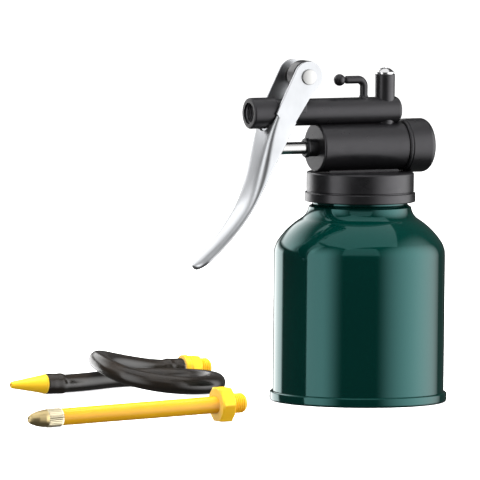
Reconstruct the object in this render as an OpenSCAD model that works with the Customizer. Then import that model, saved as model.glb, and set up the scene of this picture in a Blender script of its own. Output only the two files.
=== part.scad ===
// Hand pump oil can: a sheet-steel can with a moulded single-piston pump head,
// a squeeze lever, and two loose screw-on spouts lying beside it.
// Millimetres, +Z up. The can's axis is Z and its base stands on z = 0.
// The outlet points to -X. Both spouts lie on the same surface as the can.

/* [Can] */
// Outside diameter of the can's straight wall
can_d = 84; // [82:0.5:86]
// Height of the straight wall, where the shoulder starts
wall_h = 72; // [60:1:72]
// Sheet thickness of the can
sheet = 0.8; // [0.6:0.1:1]
// Outside diameter of the rolled seam at the base
seam_d = 86.9; // [86.5:0.1:88]
// Height of the rolled seam
seam_h = 4.9; // [4:0.1:6]

/* [Pump head] */
// Outside diameter of the screw collar
collar_d = 52.7; // [52:0.1:54]
// Outside diameter of the pump barrel
barrel_d = 24; // [22:0.5:24]
// Bore of the pump barrel, in which the piston runs
bore_d = 16; // [14:0.5:17]
// Height of the barrel's axis
barrel_z = 124.8; // [124.4:0.1:125]
// Height of the outlet tube's axis
outlet_z = 142.3; // [142:0.1:142.5]
// Outside diameter of the outlet tube
outlet_d = 13.4; // [12.4:0.2:13.4]
// Tapping diameter of the outlet's female thread
outlet_thread_d = 8.9; // [8.5:0.1:9.2]
// Depth of the outlet's female thread
outlet_thread_depth = 10; // [8:0.5:11]
// Distance from the can's axis to the valves and the dip tube
valve_x = 13.1; // [12.4:0.1:13.2]

/* [Lever] */
// Distance of the lever's pivot in front of the can's axis
pivot_reach = 33.6; // [33:0.1:34]
// Height of the lever's pivot
pivot_z = 160; // [159.5:0.1:160.5]
// Width over the lever's two ears
lever_w = 18.8; // [18.6:0.1:19.4]
// Sheet thickness of the lever
lever_sheet = 1.3; // [1.2:0.1:1.4]
// Diameter of the pivot rivet's shank
rivet_d = 4; // [3.5:0.1:4.5]
// Diameter of the pump rod
rod_d = 6; // [5:0.5:6]

/* [Spouts] */
// Outside diameter of the rigid spout's tube
spout_d = 8.3; // [7.5:0.1:8.5]
// Length of the rigid spout's visible tube
spout_tube_l = 83; // [70:1:90]
// Width across the flats of the rigid spout's hexagon
spout_hex_af = 16; // [15:0.5:17]
// Outside diameter of both spouts' male threads
spout_thread_d = 9.7; // [9.5:0.1:9.8]
// Outside diameter of the flexible spout's hose
hose_d = 9; // [8:0.5:9]

/* [Hidden] */
$fn = 96;
head_black = [0.16, 0.16, 0.17];
steel_grey = [0.82, 0.84, 0.86];
yellow = [0.96, 0.76, 0.08];
brass_gold = [0.82, 0.66, 0.34];
can_green = [0.0, 0.28, 0.22];
rubber_black = [0.07, 0.07, 0.07];

// Can outline: two convex arcs, a concave fillet, then the neck
can_r = can_d / 2;
shoulder_r1 = 12;
shoulder_a1 = 34;
shoulder_r2 = 37;
shoulder_a2 = 58;
shoulder_fillet = 8;
neck_foot_z = wall_h + 24.5;
neck_r = 23.3;
neck_top_z = 107.3;
seam_plate_z = 2.6;

// Collar of the pump head
collar_foot_z = 97.9;
collar_top_z = 112.4;
collar_plate_z = 109;
collar_inner_r = 24.9;
collar_lip_r = 27.15;
collar_lip_z = 102.5;
collar_groove_z = 103;
thread_pitch = 3;
thread_turns = 3;
neck_thread_r = 24.15;
collar_thread_r = 24.5;

// Barrel, along X
barrel_front_x = -25.4;
barrel_wall = 3;
barrel_shoulder_x = 21.3;
barrel_end_x = 30;
chamber_end_x = 31;
end_cap_r = 13.2;
end_cap_x = 35.9;
cap_relief_r = 13.5;
gland_front_x = -31;
gland_r = 4.3;
running_gap = 0.05;

// Outlet tube, along X
outlet_front_x = -61.6;
outlet_boss_x = -47.6;
outlet_boss_r = 7.6;
outlet_end_x = 20.1;
outlet_bore_r = 2.5;

// Valves, on one vertical line
ball_r = 2.5;
ball_lift = 1.2;
ball_seat_bore_r = 1.7;
ball_height = sqrt(ball_r * ball_r - ball_seat_bore_r * ball_seat_bore_r) + 0.02;
suction_seat_z = 107;
suction_boss_z = 98;
suction_boss_r = 6.5;
seat_bush_r = 4.4;
discharge_seat_z = 137;
stub_r = 4.9;
stub_top_z = 160.2;
plug_stem_z = 148;
plug_r = 3.2;

// Piston and rod
piston_front_x = -20;
piston_l = 8;
rod_tip_x = -55.05;
rod_socket = 4;
seal_wire_r = 0.9;
spring_wire_r = 0.7;
spring_coil_r = 5.4;
spring_turns = 9;
discharge_wire_r = 0.25;
discharge_coil_r = 1.9;
discharge_turns = 6;

// Dip tube
dip_r = 3;
dip_bore_r = 2;
dip_top_z = 103;
dip_foot_z = 7;
strainer_foot_z = 4.6;
strainer_top_z = 18;
strainer_r = 5;
strainer_cup_z = 13;

// Lever: a straight stretch, then one bend, measured along the flanges' edge
ear_head_r = 7.7;
ear_gap = 0.4;
lug_r = 7.4;
lever_top = [-40.55, 138];
lever_lean = 28.3;
lever_straight = 41;
lever_bend_r = 104.4;
lever_bend_a = 25.6;
lever_deep = 10.9;
lever_shallow = 2.5;
lever_fade = 51.5;
lever_taper = 31;
lever_tip_w = 12.85;
lever_round = 7;
lever_steps = 34;
lever_rib = 12;

// Rigid spout, lying along X in front of the can
spout_place = [-216, -75];
nozzle_tip_l = 9.2;
nozzle_collar_l = 7.8;
nozzle_collar_r = 4.5;
spout_hex_l = 7;
spout_thread_l = 8;
spout_bore_r = 2;
nozzle_l = nozzle_tip_l + nozzle_collar_l;
spout_hex_x = nozzle_l + spout_tube_l;
spout_tilt = atan((spout_hex_af / 2 - nozzle_collar_r) / (spout_hex_x - nozzle_tip_l));
spout_lift = spout_hex_af / 2 * cos(spout_tilt) - spout_hex_x * sin(spout_tilt);

// Flexible spout: the hose's route about the middle of its loop, and that middle's place
hose_place = [-68, 80, 0];
hose_route = [
    [-60, 7, 4.9], [-51, 7, 4.8], [-42, 10, 4.7], [-32, 15, 4.6], [-21, 21, 4.6],
    [-10, 26, 4.6], [3, 27, 4.6], [15, 23, 4.6], [24, 14, 4.6], [28, 3, 4.6],
    [26, -9, 4.6], [19, -20, 4.6], [8, -26, 4.8], [-4, -27, 5.4], [-15, -23, 6.8],
    [-24, -14, 9], [-28, -3, 11.6], [-28, 9, 13.8], [-25, 20, 14.6], [-18, 30, 13.8],
    [-8, 37, 11.8], [3, 41, 9.6], [14, 43, 7.8], [24, 43, 6.9], [33, 43, 6.7]
];
hose_sides = 12;
hose_steps = 3;
cone_l = 19;
cone_r = 4.8;
cone_tip_r = 1.6;
fitting_collar_r = 6.7;

// Points of an arc about a centre, from one angle to another
function arc(centre, r, from, to, steps) = [
    for (i = [0 : steps]) centre + r * [cos(from + (to - from) * i / steps), sin(from + (to - from) * i / steps)]
];

// Solid of revolution about X at a height, from [radius, x] points
module turned_x(height, outline) {
    translate([0, 0, height])
        rotate([0, 90, 0])
            rotate_extrude()
                polygon(outline);
}

// Plain round bar along X at a height
module bar_x(height, r, from, to) {
    translate([from, 0, height])
        rotate([0, 90, 0])
            cylinder(h = to - from, r = r);
}

// Triangular thread ridges around Z, crests at crest_r and roots at root_r
module thread_ridges(root_r, crest_r, foot_z) {
    for (i = [0 : thread_turns - 1])
        translate([0, 0, foot_z + i * thread_pitch])
            rotate_extrude()
                polygon([[root_r, -0.9], [crest_r, -0.25], [crest_r, 0.25], [root_r, 0.9]]);
}

// Right half of the can wall's outline, moved inwards by inset
function can_outline(inset) =
    let (
        c1 = [can_r - shoulder_r1, wall_h],
        e1 = c1 + shoulder_r1 * [cos(shoulder_a1), sin(shoulder_a1)],
        c2 = e1 - shoulder_r2 * [cos(shoulder_a1), sin(shoulder_a1)],
        e2 = c2 + shoulder_r2 * [cos(shoulder_a2), sin(shoulder_a2)],
        c3 = e2 + shoulder_fillet * [cos(shoulder_a2), sin(shoulder_a2)]
    )
    concat(
        arc(c1, shoulder_r1 - inset, 0, shoulder_a1, 6),
        arc(c2, shoulder_r2 - inset, shoulder_a1, shoulder_a2, 6),
        arc(c3, shoulder_fillet + inset, 180 + shoulder_a2, 180 + 6, 6)
    );

function reversed(list) = [for (i = [len(list) - 1 : -1 : 0]) list[i]];

module can_shell() color(can_green) {
    outer = can_outline(0);
    inner = can_outline(sheet);
    rotate_extrude()
        polygon(concat(
            [[can_r - sheet, 1.6], [can_r, 1.6]],
            outer,
            [[neck_r, neck_foot_z], [neck_r, neck_top_z], [neck_r - sheet, neck_top_z],
             [neck_r - sheet, neck_foot_z]],
            reversed(inner)
        ));
    thread_ridges(neck_r - 0.2, neck_thread_r, neck_foot_z + 2.6);
}

module can_base() color(can_green) {
    slot = running_gap;
    round_r = 1.2;
    rim_r = seam_d / 2;
    wall_in = can_r - sheet;
    rotate_extrude()
        polygon(concat(
            [[0, seam_plate_z], [wall_in - 4, seam_plate_z], [wall_in - 1.2, 0]],
            arc([rim_r - round_r, round_r], round_r, 270, 360, 5),
            arc([rim_r - round_r, seam_h - round_r], round_r, 0, 80, 5),
            [[can_r + slot, seam_h], [can_r + slot, 1.55], [wall_in - slot, 1.55],
             [wall_in - slot, seam_h], [wall_in - 0.8, seam_h], [wall_in - 0.8, 1.6],
             [wall_in - 3.6, seam_plate_z + sheet], [0, seam_plate_z + sheet]]
        ));
}

module head_gasket() color(rubber_black) {
    translate([0, 0, neck_top_z + 0.1])
        difference() {
            cylinder(h = collar_plate_z - neck_top_z - 0.1, r = neck_thread_r);
            translate([0, 0, -1])
                cylinder(h = 5, r = neck_r - sheet);
        }
}

module collar_blank() {
    main_r = collar_d / 2;
    rotate_extrude()
        polygon([
            [collar_inner_r, collar_foot_z], [collar_lip_r - 0.6, collar_foot_z],
            [collar_lip_r, collar_foot_z + 0.6], [collar_lip_r, collar_lip_z - 0.4],
            [collar_lip_r - 0.4, collar_lip_z], [main_r - 0.3, collar_lip_z],
            [main_r - 0.3, collar_groove_z], [main_r, collar_groove_z + 0.2],
            [main_r, collar_top_z - 0.8], [main_r - 0.8, collar_top_z], [0, collar_top_z],
            [0, collar_plate_z], [collar_inner_r, collar_plate_z]
        ]);
    thread_ridges(collar_inner_r + 0.2, collar_thread_r, collar_foot_z + 1.6);
}

// Peg with a ball end, bent over from the outlet tube towards the front
module parking_peg() {
    leg_x = 1.4;
    peg_r = 1.95;
    bend_r = 3.3;
    arm_z = 157.6;
    ball_x = -12;
    translate([leg_x, 0, 0]) {
        translate([0, 0, outlet_z])
            cylinder(h = arm_z - bend_r - outlet_z, r = peg_r);
        translate([0, 0, outlet_z + 5.9])
            cylinder(h = 1.4, r1 = 2.6, r2 = peg_r);
    }
    translate([leg_x - bend_r, 0, arm_z - bend_r])
        rotate([90, 0, 0])
            rotate_extrude(angle = 90)
                translate([bend_r, 0])
                    circle(r = peg_r);
    bar_x(arm_z, peg_r, ball_x + 3.2, leg_x - bend_r);
    bar_x(arm_z, 1.3, ball_x, ball_x + 3.4);
    translate([ball_x, 0, arm_z])
        sphere(r = 2.9);
}

// Lug beside the lever's near ear on a leaning web, with a narrow boss out to the far ear
module pivot_lug() {
    near_y = lever_w / 2 - lever_sheet - ear_gap;
    step_y = 3.8;
    chamfer = 1.1;
    far_boss_r = 3;
    web_from_y = 2.2;
    web_to_y = 7;
    translate([-pivot_reach, 0, pivot_z])
        rotate([90, 0, 0])
            rotate_extrude()
                polygon([
                    [0, -near_y], [far_boss_r - 0.3, -near_y], [far_boss_r, 0.3 - near_y],
                    [far_boss_r, step_y], [lug_r - chamfer, step_y], [lug_r, step_y + chamfer],
                    [lug_r, near_y - 0.4], [lug_r - 0.4, near_y], [0, near_y]
                ]);
    translate([-pivot_reach, -web_from_y, pivot_z])
        rotate([90, 0, 0])
            linear_extrude(height = web_to_y - web_from_y)
                polygon([[-7.3, -1.2], [-9.8, -12], [-9.8, outlet_z - pivot_z],
                         [0.4, outlet_z - pivot_z], [0.4, -12], [6.2, -3.8]]);
}

module pump_body() color(head_black) {
    barrel_r = barrel_d / 2;
    tube_r = outlet_d / 2;
    difference() {
        union() {
            collar_blank();
            translate([-19, -7, collar_plate_z + 1])
                cube([40, 14, 7]);
            turned_x(barrel_z, [
                [0, barrel_front_x], [barrel_r - 1, barrel_front_x], [barrel_r, barrel_front_x + 1],
                [barrel_r, barrel_shoulder_x], [barrel_r - 1.2, barrel_shoulder_x],
                [barrel_r - 1.2, barrel_end_x], [0, barrel_end_x]
            ]);
            turned_x(outlet_z, [
                [0, outlet_front_x], [outlet_boss_r - 0.9, outlet_front_x],
                [outlet_boss_r, outlet_front_x + 0.9], [outlet_boss_r, outlet_boss_x - 0.9],
                [tube_r - 0.1, outlet_boss_x], [tube_r, outlet_end_x - 1.6],
                [tube_r - 0.5, outlet_end_x - 0.5], [tube_r - 1.6, outlet_end_x], [0, outlet_end_x]
            ]);
            translate([valve_x, 0, barrel_z])
                cylinder(h = stub_top_z - 0.4 - barrel_z, r = stub_r);
            translate([valve_x, 0, stub_top_z - 0.4])
                cylinder(h = 0.4, r1 = stub_r, r2 = stub_r - 0.4);
            translate([valve_x, 0, suction_boss_z])
                cylinder(h = collar_top_z - suction_boss_z, r = suction_boss_r);
            pivot_lug();
            parking_peg();
        }
        bar_x(barrel_z, bore_d / 2, barrel_front_x + barrel_wall, barrel_end_x + 1);
        bar_x(barrel_z, gland_r + running_gap, barrel_front_x - 1, 0);
        bar_x(outlet_z, outlet_thread_d / 2, outlet_front_x - 1, outlet_front_x + outlet_thread_depth);
        bar_x(outlet_z, 5.2, outlet_front_x - 1, outlet_front_x + 1.2);
        bar_x(outlet_z, outlet_bore_r, outlet_front_x, valve_x);
        translate([valve_x, 0, barrel_z])
            cylinder(h = discharge_seat_z - barrel_z, r = ball_seat_bore_r);
        translate([valve_x, 0, discharge_seat_z])
            cylinder(h = 40, r = plug_r);
        translate([valve_x, 0, suction_boss_z - 1])
            cylinder(h = suction_seat_z - suction_boss_z + 1, r = seat_bush_r);
        translate([valve_x, 0, suction_seat_z - 1])
            cylinder(h = 1 + ball_height + ball_r + ball_lift + 0.05, r = ball_r + 0.5);
        translate([valve_x, 0, suction_seat_z])
            cylinder(h = barrel_z - suction_seat_z, r = 1.5);
        translate([-pivot_reach, 20, pivot_z])
            rotate([90, 0, 0])
                cylinder(h = 40, r = rivet_d / 2 + running_gap);
        turned_x(barrel_z, [
            [barrel_r + 0.2, barrel_shoulder_x], [cap_relief_r, barrel_shoulder_x],
            [cap_relief_r, barrel_shoulder_x + 6], [barrel_r + 0.2, barrel_shoulder_x + 6]
        ]);
        translate([-19, 13, collar_plate_z - 1])
            cylinder(h = 5, r = 0.6);
    }
}

module end_cap() color(head_black) {
    skirt_r = barrel_d / 2 - 1.2 + running_gap;
    round_r = 2.8;
    turned_x(barrel_z, concat(
        [[skirt_r, barrel_shoulder_x + 0.1], [12.5, barrel_shoulder_x + 0.1],
         [12.9, barrel_shoulder_x + 0.5], [12.9, barrel_shoulder_x + 1.1],
         [12.5, barrel_shoulder_x + 1.4], [12.5, barrel_shoulder_x + 1.6],
         [end_cap_r, barrel_shoulder_x + 2.2]],
        arc([end_cap_r - round_r, end_cap_x - round_r], round_r, 0, 90, 5),
        [[0, end_cap_x], [0, chamber_end_x], [skirt_r, chamber_end_x]]
    ));
}

module end_cap_seal() color(rubber_black) {
    turned_x(barrel_z, [
        [bore_d / 2 + 0.3, barrel_end_x], [barrel_d / 2 - 1.4, barrel_end_x],
        [barrel_d / 2 - 1.4, chamber_end_x], [bore_d / 2 + 0.3, chamber_end_x]
    ]);
}

module gland_nut() color(head_black) {
    hole_r = rod_d / 2 + running_gap;
    turned_x(barrel_z, [
        [hole_r, gland_front_x], [gland_r, gland_front_x], [4.85, gland_front_x + 0.5],
        [4.85, gland_front_x + 1.6], [gland_r, gland_front_x + 2.1],
        [gland_r, barrel_front_x + barrel_wall], [hole_r, barrel_front_x + barrel_wall]
    ]);
}

module rod_seal() color(rubber_black) {
    seal_x = barrel_front_x + barrel_wall;
    hole_r = rod_d / 2 + running_gap;
    turned_x(barrel_z, [
        [hole_r, seal_x], [6, seal_x], [6, seal_x + 1.5], [hole_r, seal_x + 1.5]
    ]);
}

module piston_rod() color(steel_grey) {
    rod_r = rod_d / 2;
    turned_x(barrel_z, [
        [0, rod_tip_x], [0.4 * rod_r, rod_tip_x + 0.25], [0.72 * rod_r, rod_tip_x + 0.95],
        [0.92 * rod_r, rod_tip_x + 1.85], [rod_r, rod_tip_x + 3],
        [rod_r, piston_front_x + rod_socket], [0, piston_front_x + rod_socket]
    ]);
}

module piston() color(steel_grey) {
    piston_r = bore_d / 2 - running_gap;
    groove_r = piston_r - 2 * seal_wire_r;
    mid_x = piston_front_x + piston_l / 2;
    difference() {
        turned_x(barrel_z, [
            [0, piston_front_x], [piston_r - 0.5, piston_front_x], [piston_r, piston_front_x + 0.5],
            [piston_r, mid_x - 1.1], [groove_r, mid_x - 1.1], [groove_r, mid_x + 1.1],
            [piston_r, mid_x + 1.1], [piston_r, piston_front_x + piston_l],
            [3.8, piston_front_x + piston_l], [3.4, piston_front_x + piston_l + 2],
            [0, piston_front_x + piston_l + 2]
        ]);
        bar_x(barrel_z, rod_d / 2, piston_front_x - 1, piston_front_x + rod_socket);
    }
}

module piston_seal() color(rubber_black) {
    seal_r = bore_d / 2 - running_gap - seal_wire_r;
    translate([piston_front_x + piston_l / 2, 0, barrel_z])
        rotate([0, 90, 0])
            rotate_extrude()
                translate([seal_r, 0])
                    circle(r = seal_wire_r - 0.01);
}

// Round wire wound about Z from z = 0 up to a height
module coil(coil_r, wire_r, height, turns) {
    sides = 8;
    rings = 12 * turns;
    rise = height - 2 * wire_r;
    slope = atan(rise / (turns * 2 * PI * coil_r));
    points = [
        for (i = [0 : rings], k = [0 : sides - 1])
            let (
                turn = 360 * turns * i / rings,
                round = 360 * k / sides,
                r = coil_r + wire_r * cos(round),
                lean = wire_r * sin(round)
            )
            [r * cos(turn) + lean * sin(slope) * sin(turn), r * sin(turn) - lean * sin(slope) * cos(turn),
             wire_r + rise * i / rings + lean * cos(slope)]
    ];
    sweep_rings(points, rings, sides);
}

// Closed skin over rings of points, each with the same number of sides
module sweep_rings(points, rings, sides) {
    polyhedron(
        points = points,
        faces = concat(
            [[for (k = [sides - 1 : -1 : 0]) k]],
            [for (i = [0 : rings - 1], k = [0 : sides - 1])
                [i * sides + k, i * sides + (k + 1) % sides, (i + 1) * sides + (k + 1) % sides]],
            [for (i = [0 : rings - 1], k = [0 : sides - 1])
                [i * sides + k, (i + 1) * sides + (k + 1) % sides, (i + 1) * sides + k]],
            [[for (k = [0 : sides - 1]) rings * sides + k]]
        )
    );
}

module return_spring() color(steel_grey) {
    start_x = piston_front_x + piston_l + 0.05;
    translate([start_x, 0, barrel_z])
        rotate([0, 90, 0])
            coil(spring_coil_r, spring_wire_r, chamber_end_x - 0.1 - start_x, spring_turns);
}

module suction_seat() color(brass_gold) {
    translate([valve_x, 0, 0])
        difference() {
            translate([0, 0, suction_boss_z])
                cylinder(h = suction_seat_z - suction_boss_z, r = seat_bush_r);
            translate([0, 0, suction_boss_z - 1])
                cylinder(h = dip_top_z - suction_boss_z + 1, r = dip_r);
            translate([0, 0, suction_boss_z])
                cylinder(h = 20, r = ball_seat_bore_r);
        }
}

module suction_ball() color(steel_grey) {
    translate([valve_x, 0, suction_seat_z + ball_height])
        sphere(r = ball_r);
}

module dip_tube() color([0.9, 0.9, 0.88]) {
    translate([valve_x, 0, dip_foot_z])
        difference() {
            cylinder(h = dip_top_z - dip_foot_z, r = dip_r);
            translate([0, 0, -1])
                cylinder(h = dip_top_z, r = dip_bore_r);
        }
}

module strainer() color(brass_gold) {
    slot_count = 8;
    translate([valve_x, 0, 0])
        difference() {
            rotate_extrude()
                polygon([
                    [0, strainer_foot_z], [strainer_r - 0.6, strainer_foot_z],
                    [strainer_r, strainer_foot_z + 0.6], [strainer_r, strainer_cup_z],
                    [dip_r + 0.9, strainer_cup_z + 1],
                    [dip_r + 0.9, strainer_top_z], [dip_r, strainer_top_z], [dip_r, dip_foot_z],
                    [0, dip_foot_z - 1.2]
                ]);
            for (i = [0 : slot_count - 1])
                rotate([0, 0, 360 * i / slot_count])
                    translate([2.2, -0.4, strainer_foot_z + 1.2])
                        cube([4, 0.8, 1.6]);
        }
}

module discharge_ball() color(steel_grey) {
    translate([valve_x, 0, discharge_seat_z + ball_height])
        sphere(r = ball_r);
}

module discharge_spring() color(steel_grey) {
    foot_z = discharge_seat_z + ball_height + 1.75;
    translate([valve_x, 0, foot_z])
        coil(discharge_coil_r, discharge_wire_r, plug_stem_z - 0.05 - foot_z, discharge_turns);
}

module plug_washer() color([0.75, 0.75, 0.77]) {
    translate([valve_x, 0, stub_top_z])
        difference() {
            cylinder(h = 0.5, r = 4.3);
            translate([0, 0, -1])
                cylinder(h = 3, r = plug_r);
        }
}

module discharge_plug() color([0.88, 0.89, 0.9]) {
    head_z = stub_top_z + 0.5;
    head_r = 4.6;
    head_h = 2.6;
    cap_r = (head_r * head_r + head_h * head_h) / (2 * head_h);
    translate([valve_x, 0, 0])
        difference() {
            union() {
                translate([0, 0, plug_stem_z])
                    cylinder(h = head_z + 0.1 - plug_stem_z, r = plug_r - 0.02);
                translate([0, 0, head_z])
                    rotate_extrude()
                        polygon(concat(
                            [[0, 0], [head_r, 0]],
                            arc([0, head_h - cap_r], cap_r, 90 - asin(head_r / cap_r) + 3, 90, 8)
                        ));
            }
            for (turn = [0, 90])
                translate([0, 0, head_z + 2.1])
                    rotate([0, 0, 18 + turn])
                        cube([5.2, 1, 2.6], center = true);
        }
}

// The lever's flange edge in the XZ plane, and its heading, at a length along it
function lever_angle(s) = lever_lean + (s > lever_straight ? (s - lever_straight) / lever_bend_r * 180 / PI : 0);
function lever_edge(s) =
    let (
        a = lever_angle(s),
        run = min(s, lever_straight),
        turn = lever_bend_r * [cos(a) - cos(lever_lean), sin(lever_lean) - sin(a)]
    )
    lever_top - run * [sin(lever_lean), cos(lever_lean)] + turn;
lever_l = lever_straight + lever_bend_r * lever_bend_a * PI / 180;

function eased(t) = let (u = max(0, min(1, t))) u * u * (3 - 2 * u);

// Rise of the rounded web above the flanges' flat stretch: tight at the top, wider further down
function lever_crown(s, depth) = pow(pow(2.4 + 0.13 * s, -4) + pow(depth - 0.25, -4), -0.25);

// One cross-section of the pressed channel: outer skin, then inner skin back again
function lever_section(s) =
    let (
        a = lever_angle(s),
        at = lever_edge(s),
        fade = eased(s / lever_fade),
        end = max(0, (s - (lever_l - lever_round)) / lever_round),
        narrow = sqrt(1 - 0.985 * end * end),
        taper = eased((s - lever_taper) / (lever_l - lever_taper)),
        half = (lever_w / 2 - (lever_w - lever_tip_w) / 2 * taper) * narrow,
        depth = lever_shallow + (lever_deep - lever_shallow) * (1 - fade) - 0.3 * end,
        crown = lever_crown(s, depth),
        power = 0.5 + 0.4 * fade,
        thick = min(lever_sheet, half * 0.8)
    )
    [for (side = [0, 1], i = [-lever_rib - 1 : lever_rib + 1])
        let (
            turn = 90 * max(-1, min(1, (side == 0 ? i : -i) / lever_rib)),
            across = sign(turn) * pow(abs(sin(turn)), power),
            rise = pow(max(0, cos(turn)), power),
            foot = abs(i) > lever_rib ? 0 : depth - crown,
            y = (half - side * thick) * across,
            v = foot + (crown - side * lever_sheet) * rise
        )
        [at[0] - v * cos(a), y, at[1] + v * sin(a)]
    ];

module lever_channel() {
    per_side = 2 * lever_rib + 2;
    sides = 2 * (per_side + 1);
    points = [for (i = [0 : lever_steps]) each lever_section(lever_l * i / lever_steps)];
    last = lever_steps * sides;
    polyhedron(
        points = points,
        faces = concat(
            [for (i = [0 : lever_steps - 1], k = [0 : sides - 1])
                [i * sides + k, (i + 1) * sides + (k + 1) % sides, i * sides + (k + 1) % sides]],
            [for (i = [0 : lever_steps - 1], k = [0 : sides - 1])
                [i * sides + k, (i + 1) * sides + k, (i + 1) * sides + (k + 1) % sides]],
            [for (k = [0 : per_side - 1]) [k, k + 1, sides - 2 - k, sides - 1 - k]],
            [for (k = [0 : per_side - 1])
                [last + k + 1, last + k, last + sides - 1 - k, last + sides - 2 - k]]
        )
    );
}

// Side plate of the lever around the pivot, from y_from towards -Y
module lever_ear(y_from) {
    translate([-pivot_reach, y_from, pivot_z])
        rotate([90, 0, 0])
            linear_extrude(height = lever_sheet)
                union() {
                    circle(r = ear_head_r);
                    polygon([
                        [-7.1, 2.9], [-17.4, -17.6], [-14.7, -21.8], [-16.3, -32.9], [-16, -37.6],
                        [-15.5, -37.8], [-6.95, -22], [1, -9.9], [6.6, -3.9]
                    ]);
                }
}

module lever() color(steel_grey) {
    difference() {
        union() {
            lever_channel();
            lever_ear(lever_sheet - lever_w / 2);
            lever_ear(lever_w / 2);
        }
        bar_x(outlet_z - 0.6, 8.1, -80, -40);
        translate([-pivot_reach, 20, pivot_z])
            rotate([90, 0, 0])
                cylinder(h = 40, r = rivet_d / 2);
    }
}

module pivot_rivet() color(steel_grey) {
    head_r = 3.9;
    head_h = 1.2;
    face_y = lever_w / 2;
    cap_r = (head_r * head_r + head_h * head_h) / (2 * head_h);
    spread = asin(head_r / cap_r);
    translate([-pivot_reach, 0, pivot_z])
        rotate([90, 0, 0])
            rotate_extrude()
                polygon(concat(
                    [[rivet_d / 2, face_y]],
                    arc([0, face_y + head_h - cap_r], cap_r, 90 - spread, 90, 6),
                    arc([0, cap_r - face_y - head_h], cap_r, 270, 270 + spread, 6),
                    [[rivet_d / 2, -face_y]]
                ));
}

module rivet_washer() color(steel_grey) {
    far_y = lever_w / 2 - lever_sheet;
    translate([-pivot_reach, far_y, pivot_z])
        rotate([90, 0, 0])
            difference() {
                cylinder(h = 0.25, r = 4.4);
                translate([0, 0, -1])
                    cylinder(h = 3, r = rivet_d / 2);
            }
}

// Places a piece drawn along +X from the nozzle's tip where the rigid spout lies
module at_rigid_spout() {
    translate([spout_place[0], spout_place[1], spout_lift])
        rotate([0, -spout_tilt, 0])
            children();
}

// Male thread along X, as ridges on a core
module male_thread(from, to, height = 0) {
    crest_r = spout_thread_d / 2;
    root_r = crest_r - 0.6;
    pitch = 1;
    ridges = floor((to - from - 1) / pitch);
    turned_x(height, concat(
        [[0, from], [root_r, from]],
        [for (i = [0 : ridges - 1]) each [
            [root_r, from + 0.7 + i * pitch], [crest_r, from + 1 + i * pitch],
            [crest_r, from + 1.15 + i * pitch], [root_r, from + 1.45 + i * pitch]
        ]],
        [[root_r, to - 0.3], [root_r - 0.5, to], [0, to]]
    ));
}

module rigid_spout_tube() color(yellow) {
    at_rigid_spout()
        difference() {
            bar_x(0, spout_d / 2, nozzle_l, spout_hex_x + 3);
            bar_x(0, spout_bore_r, nozzle_l - 1, spout_hex_x + 4);
        }
}

module rigid_spout_fitting() color(yellow) {
    hex_r = spout_hex_af / 2 / cos(30);
    at_rigid_spout()
        difference() {
            union() {
                translate([spout_hex_x, 0, 0])
                    rotate([0, 90, 0])
                        rotate([0, 0, 30])
                            cylinder(h = spout_hex_l, r = hex_r, $fn = 6);
                male_thread(spout_hex_x + spout_hex_l - 0.5, spout_hex_x + spout_hex_l + spout_thread_l);
            }
            bar_x(0, spout_d / 2, spout_hex_x - 1, spout_hex_x + 3);
            bar_x(0, spout_bore_r, spout_hex_x, spout_hex_x + 40);
        }
}

module rigid_spout_nozzle() color(brass_gold) {
    teeth = 30;
    at_rigid_spout()
        difference() {
            union() {
                turned_x(0, [
                    [0, 0], [1.6, 0], [2.4, 1.2], [3.3, 3.4], [3.9, 5.6], [4.2, 7.6],
                    [4.2, nozzle_tip_l + 0.3], [0, nozzle_tip_l + 0.3]
                ]);
                translate([nozzle_tip_l, 0, 0])
                    rotate([0, 90, 0])
                        linear_extrude(height = nozzle_collar_l)
                            polygon([for (i = [0 : 2 * teeth - 1])
                                (nozzle_collar_r - 0.22 * (i % 2)) * [cos(180 * i / teeth), sin(180 * i / teeth)]]);
            }
            bar_x(0, 0.75, -1, 5);
            bar_x(0, spout_bore_r, 4, nozzle_l + 1);
        }
}

// Smooth curve through the route's points (Catmull-Rom), and the frame along it
function route_point(i) = hose_route[max(0, min(len(hose_route) - 1, i))];
function on_route(i, t) =
    let (a = route_point(i - 1), b = route_point(i), c = route_point(i + 1), d = route_point(i + 2))
    0.5 * (2 * b + (c - a) * t + (2 * a - 5 * b + 4 * c - d) * t * t + (3 * b - a - 3 * c + d) * t * t * t);
function unit(v) = v / norm(v);

module flexible_hose() color(rubber_black) {
    spans = len(hose_route) - 1;
    rings = spans * hose_steps;
    line = [for (j = [0 : rings]) on_route(floor(j / hose_steps), (j % hose_steps) / hose_steps)];
    points = [
        for (j = [0 : rings])
            let (
                ahead = j == 0 || j == rings ? [1, 0, 0] : unit(line[j + 1] - line[j - 1]),
                side = unit(cross(ahead, [0, 0, 1])),
                up = cross(side, ahead)
            )
            for (k = [0 : hose_sides - 1])
                line[j] + hose_d / 2 * (cos(360 * k / hose_sides) * side + sin(360 * k / hose_sides) * up)
    ];
    translate(hose_place)
        sweep_rings(points, rings, hose_sides);
}

module hose_fitting() color(yellow) {
    start = hose_route[len(hose_route) - 1];
    hex_r = 6.9;
    translate([hose_place[0] + start[0], hose_place[1] + start[1], start[2]])
        difference() {
            union() {
                turned_x(0, [
                    [0, 0], [fitting_collar_r - 0.5, 0], [fitting_collar_r, 0.5],
                    [fitting_collar_r, 2.6], [fitting_collar_r - 0.4, 3], [0, 3]
                ]);
                translate([2.5, 0, 0])
                    rotate([0, 90, 0])
                        rotate([0, 0, 30])
                            cylinder(h = 6.5, r = hex_r, $fn = 6);
                male_thread(8.5, 15);
            }
            bar_x(0, spout_bore_r, -1, 20);
        }
}

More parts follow.
